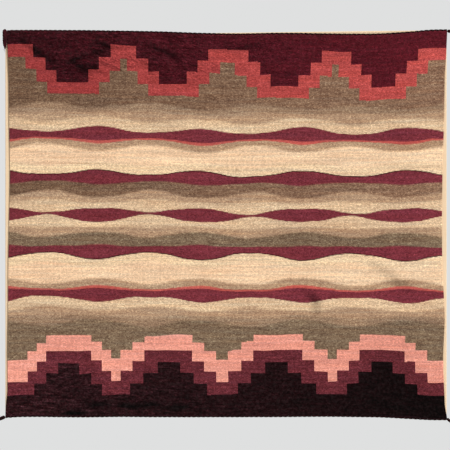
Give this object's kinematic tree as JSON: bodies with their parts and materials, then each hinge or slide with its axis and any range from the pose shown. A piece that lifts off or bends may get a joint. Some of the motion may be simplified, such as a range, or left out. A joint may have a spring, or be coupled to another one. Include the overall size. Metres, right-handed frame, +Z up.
{
  "type": "navajo rug on a backing board",
  "caption": "Flat tapestry-woven wool rug with stepped end borders and wavy bands, twined end cords and knotted corner yarns, hung on a cloth-covered board.",
  "frame": {"origin": "centre of the backing board's back face, where it meets the wall", "axes": "+Z up the rug, +X to the right as seen from its face, +Y out of the board's back towards the wall, so the rug's face looks along -Y"},
  "size_m": [1.2793, 0.0256, 1.0627],
  "materials": {
    "rug_wool": "weft-faced tapestry weave in heathered wool, wine, coral, peach, cream, tan and brown",
    "cord_wool": "twined black-brown wool yarn",
    "backing_cloth": "plain-woven cream cotton, stretched over a board"
  },
  "bodies": {
    "root": {"rug": "rug_wool", "end_cord_top": "cord_wool", "end_cord_bottom": "cord_wool", "yarn_end_top_left": "cord_wool", "yarn_end_top_right": "cord_wool", "yarn_end_bottom_left": "cord_wool", "yarn_end_bottom_right": "cord_wool", "backing_board": "backing_cloth"}
  },
  "joints": []
}
